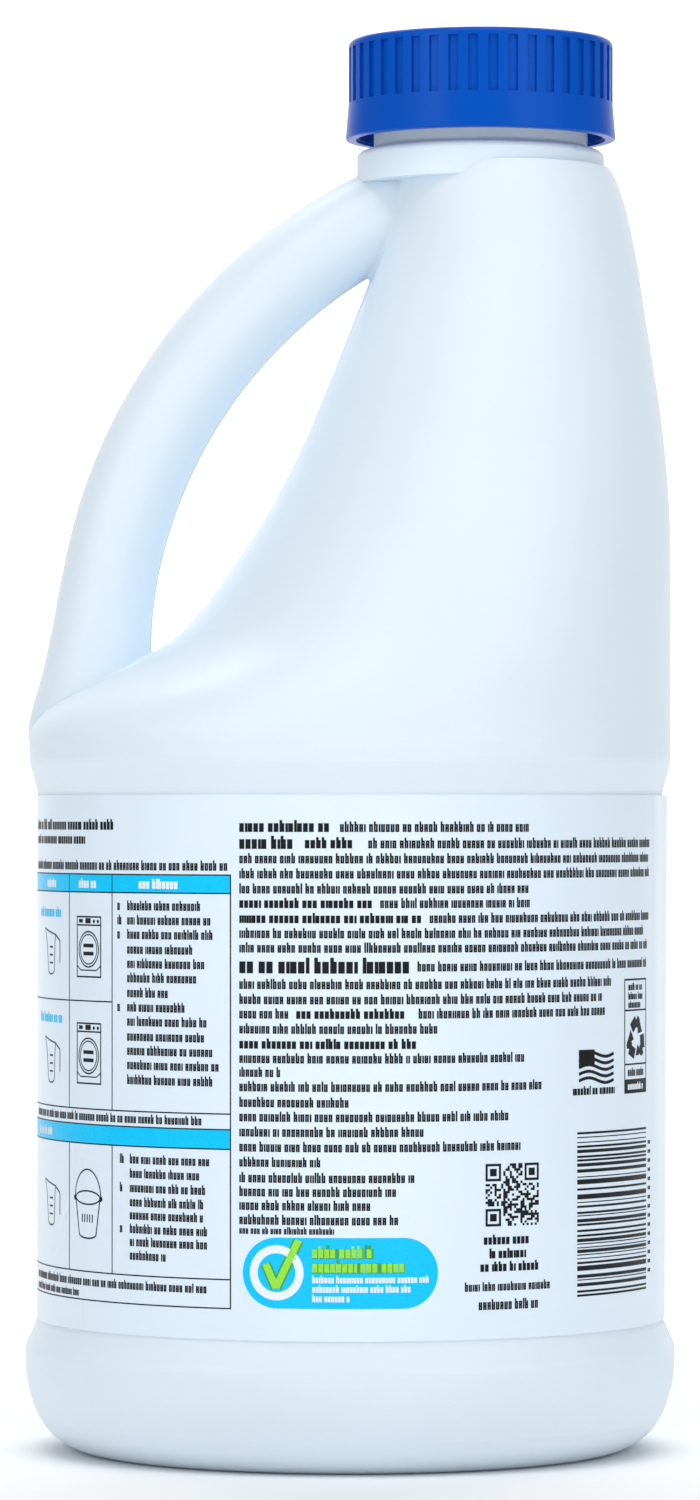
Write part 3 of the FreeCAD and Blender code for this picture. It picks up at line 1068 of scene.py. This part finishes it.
    def print_text(self, ink: FlatPrint) -> None:
        """Print the blind text outside the table.

        Args:
            ink: the print that it goes on.
        """
        dice = random.Random(self.text_seed)
        for line in self.text_lines():
            ink.words(dice, line.left, line.right, line.up, line.size, line.weight)

    def print_badge(self, layers: dict[Ink, FlatPrint]) -> None:
        """Print the round-ended badge with its ring, its tick and its blind text.

        Args:
            layers: the flat print of each ink.
        """
        white, lime, green = layers[Ink.WHITE], layers[Ink.LIME], layers[Ink.GREEN]
        dice = random.Random(self.badge_seed)
        layers[Ink.CYAN].pill(-17.4, 27.1, 14.2, 38.4)
        white.ring(-11.8, 32.8, 4.4, 3.1)
        tick = [(-13.6, 34.2), (-11.9, 30.4), (-8.2, 38.0)]
        green.stroke(tick, 1.7)
        lime.stroke(tick, 1.15)
        left, shadow_drop = -6.0, 0.15
        for right, height in ((4.3, 35.2), (9.5, 32.9)):
            green.words(dice, left, right, height - shadow_drop, 2.2, Weight.BOLD)
            lime.words(random.Random(int(right)), left, right, height, 1.9, Weight.BOLD)
        for right, height in ((13.0, 31.2), (9.9, 29.7), (0.4, 28.2)):
            white.words(dice, left, right, height, 1.2)

    def print_codes(self, ink: FlatPrint) -> None:
        """Print a blind block of squares and a blind stack of bars, with ticks beside it.

        Args:
            ink: the print that they go on.
        """
        dice = random.Random(self.code_seed)
        self.print_squares(ink, dice)
        left, right, height, top = 40.6, 62.4, 27.9, 54.2
        bars, gaps = (0.18, 0.18, 0.36, 0.36, 0.54, 0.8), (0.22, 0.3, 0.42, 0.62)
        while height < top:
            bar = dice.choice(bars)
            ink.box(left, height, right, height + bar)
            height += bar + dice.choice(gaps)
        for step in range(15):
            ink.box(63.2, 30.6 + 1.5 * step, 64.6, 31.2 + 1.5 * step)

    def print_squares(self, ink: FlatPrint, dice: random.Random) -> None:
        """Print a block of squares set by chance, with three framed squares in its corners.

        Args:
            ink: the print that it goes on.
            dice: where the chances come from.
        """
        left, low, cell, count, eye = 22.3, 39.9, 0.4, 25, 7
        eyes = ((0, 0), (0, count - eye), (count - eye, count - eye))
        for column in range(count):
            for row in range(count):
                near_eye = any(x - 1 <= column <= x + eye and y - 1 <= row <= y + eye for x, y in eyes)
                if not near_eye and dice.random() < 0.5:
                    across, up = left + column * cell, low + row * cell
                    ink.box(across, up, left + (column + 1) * cell, low + (row + 1) * cell)
        for x, y in eyes:
            corner, floor = left + x * cell, low + y * cell
            ink.frame(corner, floor, corner + eye * cell, floor + eye * cell, cell)
            ink.box(corner + 2 * cell, floor + 2 * cell, corner + 5 * cell, floor + 5 * cell)

    def print_recycling_panel(self, layers: dict[Ink, FlatPrint]) -> None:
        """Print the upright panel with three chasing arrows.

        Args:
            layers: the flat print of each ink.
        """
        ink, white = layers[Ink.BLACK], layers[Ink.WHITE]
        left, right, low, high = 53.6, 62.4, 60.2, 78.9
        ink.frame(left, low, right, high, 0.3)
        for height in (73.6, 64.8):
            ink.box(left, height, right, height + 0.28)
        ink.box(left, low, right, 62.5)
        dice = random.Random(self.panel_seed)
        white.words(dice, left + 1.2, right - 1.0, 60.8, 1.2, Weight.BOLD)
        ink.words(dice, left + 1.2, right - 1.0, 63.0, 1.4)
        for height in (77.0, 75.5, 74.1):
            ink.words(dice, left + 1.4, right - 1.6, height, 1.2, Weight.BOLD)
        self.print_chasing_arrows(ink, (left + right) / 2, 69.0)

    def print_chasing_arrows(self, ink: FlatPrint, along: float, up: float) -> None:
        """Print three arrows that chase each other round a place.

        Args:
            ink: the print that they go on.
            along: their middle along the film.
            up: their middle's height.
        """

        def spot(degrees: float, reach: float) -> Place:
            """The place at an angle and a distance from the middle."""
            turn = math.radians(degrees)
            return (along + reach * math.cos(turn), up + reach * math.sin(turn))

        for corner in (90, 210, 330):
            ink.stroke([spot(corner + 46, 2.5), spot(corner, 3.1), spot(corner - 22, 2.6)], 1.8)
            ink.patch([spot(corner - 14, 3.9), spot(corner - 66, 2.7), spot(corner - 30, 1.0)])

    def print_striped_block(self, ink: FlatPrint) -> None:
        """Print a small block of waving stripes with a dark corner.

        Args:
            ink: the print that it goes on.
        """
        left, right, low = 41.0, 50.2, 62.4
        pitch, width, swing, steps = 1.06, 0.52, 0.45, 12
        for stripe in range(5):
            path = []
            for i in range(steps + 1):
                share = i / steps
                wave = swing * math.sin(share * math.tau)
                path.append((left + (right - left) * share, low + 0.3 + stripe * pitch + wave))
            ink.stroke(path, width)
        ink.box(left, low + 2.7, left + 3.9, low + 5.3)


# ---- closure and contents ---------------------------------------------------------------------


@dataclass
class Closure:
    """The screw cap, the liner disc in it and the foil on the mouth."""

    cap: MouldedPlastic = MouldedPlastic(
        name="cap_plastic",
        colour=(0.0, 0.078, 0.475),
        roughness=0.3,
        variation=0.05,
        grain_height=0.00003,
        shine=0.1,
    )
    liner: LinerFoam = field(default_factory=LinerFoam)
    foil: SealFoil = field(default_factory=SealFoil)

    def build(self) -> None:
        """Dress the closure's nodes."""
        dress("screw_cap", self.cap.make())
        dress("cap_liner", self.liner.make())
        dress("mouth_seal", self.foil.make())


@dataclass
class Contents:
    """The liquid in the bottle."""

    liquid: BleachLiquid = field(default_factory=BleachLiquid)

    def build(self) -> None:
        """Dress the liquid."""
        dress("bleach_liquid", self.liquid.make())


# ---- studio -----------------------------------------------------------------------------------


@dataclass(frozen=True)
class Softbox:
    """A soft rectangular light that faces a point."""

    name: str
    place: Spot
    size: Pair
    power: float
    target: Spot = (0.0, 0.0, 0.11)
    colour: Colour = (1.0, 1.0, 1.0)

    def build(self) -> None:
        """Hang the light and turn it to its target."""
        light = bpy.data.lights.new(self.name, "AREA")
        light.shape = "RECTANGLE"
        light.size, light.size_y = self.size
        light.energy = self.power
        light.color = self.colour
        lamp = bpy.data.objects.new(self.name, light)
        bpy.context.scene.collection.objects.link(lamp)
        lamp.location = self.place
        lamp.visible_camera = False
        aim = Vector(self.target) - Vector(self.place)
        lamp.rotation_euler = aim.to_track_quat("-Z", "Y").to_euler()


@dataclass
class Studio:
    """The pale sweep, the soft lights and the camera.

    Lengths are in metres, apart from the lens, which is in millimetres.
    """

    camera_distance: float = 1.0688
    camera_height: float = 0.1064
    lens: float = 153.6
    shift: float = 0.04
    sweep_half_width: float = 3.6
    sweep_front: float = -3.6
    sweep_back: float = 3.4
    sweep_bend: float = 1.2
    sweep_height: float = 3.6
    bend_steps: int = 24
    air_colour: Colour = (0.97, 0.985, 1.0)
    ambient: float = 0.32
    floor: PaleFloor = field(default_factory=PaleFloor)
    lights: tuple[Softbox, ...] = (
        Softbox("left_softbox", (-0.85, -0.95, 0.6), (0.5, 0.9), 2.9),
        Softbox("right_softbox", (0.8, -1.0, 0.6), (0.45, 0.9), 2.5),
        Softbox("left_strip", (-1.0, -0.5, 0.36), (0.2, 0.9), 0.5),
        Softbox("right_strip", (1.0, -0.5, 0.36), (0.2, 0.9), 0.8),
        Softbox("low_softbox", (0.0, -0.72, 0.04), (0.8, 0.06), 0.6, (0.0, 0.0, 0.02)),
        Softbox("top_softbox", (0.0, -0.5, 1.25), (0.9, 0.7), 6.5),
        Softbox("sweep_softbox", (0.0, 1.6, 2.6), (3.0, 0.8), 85.0, (0.0, 2.9, 0.3)),
    )

    def build(self) -> None:
        """Set up the sweep, the lights and the camera."""
        self.lay_sweep()
        self.light_air()
        for light in self.lights:
            light.build()
        self.set_camera()

    def lay_sweep(self) -> None:
        """Lay the floor that curves up behind the bottle."""
        bend, bend_start = self.sweep_bend, self.sweep_back - self.sweep_bend
        outline = [(self.sweep_front, 0.0), (bend_start, 0.0)]
        for i in range(1, self.bend_steps + 1):
            turn = math.pi / 2 * i / self.bend_steps
            outline.append((bend_start + bend * math.sin(turn), bend * (1 - math.cos(turn))))
        outline.append((self.sweep_back, self.sweep_height))
        half = self.sweep_half_width
        points = [Vector((side * half, y, z)) for y, z in outline for side in (-1, 1)]
        faces = [(2 * i, 2 * i + 1, 2 * i + 3, 2 * i + 2) for i in range(len(outline) - 1)]
        mesh = mesh_from("studio_floor", points, faces, smooth=True)
        sweep = bpy.data.objects.new("studio_floor", mesh)
        sweep.data.materials.append(self.floor.make())
        bpy.context.scene.collection.objects.link(sweep)
        sweep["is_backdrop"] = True

    def light_air(self) -> None:
        """Give the air an even pale light."""
        world = bpy.data.worlds.new("studio_air")
        world.use_nodes = True
        air = world.node_tree.nodes["Background"]
        air.inputs["Color"].default_value = (*self.air_colour, 1.0)
        air.inputs["Strength"].default_value = self.ambient
        bpy.context.scene.world = world
        bpy.context.scene.view_settings.view_transform = "Standard"

    def set_camera(self) -> None:
        """Set the camera level, in front of the bottle."""
        lens = bpy.data.cameras.new("studio_camera")
        lens.lens = self.lens
        lens.shift_y = self.shift
        lens.clip_start, lens.clip_end = 0.05, 20.0
        camera = bpy.data.objects.new("studio_camera", lens)
        camera.location = (0.0, -self.camera_distance, self.camera_height)
        camera.rotation_euler = (math.pi / 2, 0.0, 0.0)
        bpy.context.scene.collection.objects.link(camera)
        bpy.context.scene.camera = camera


def main() -> None:
    """Build every part of the scene in order."""
    logging.basicConfig(level=logging.INFO, format="%(message)s")
    for part in (Bottle(), WrapLabel(), Closure(), Contents(), Studio()):
        part.build()
        LOG.info("built %s", type(part).__name__)
    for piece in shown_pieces():
        LOG.info("piece %s: %d faces", piece.name, len(piece.data.polygons))


if __name__ == "__main__":
    main()
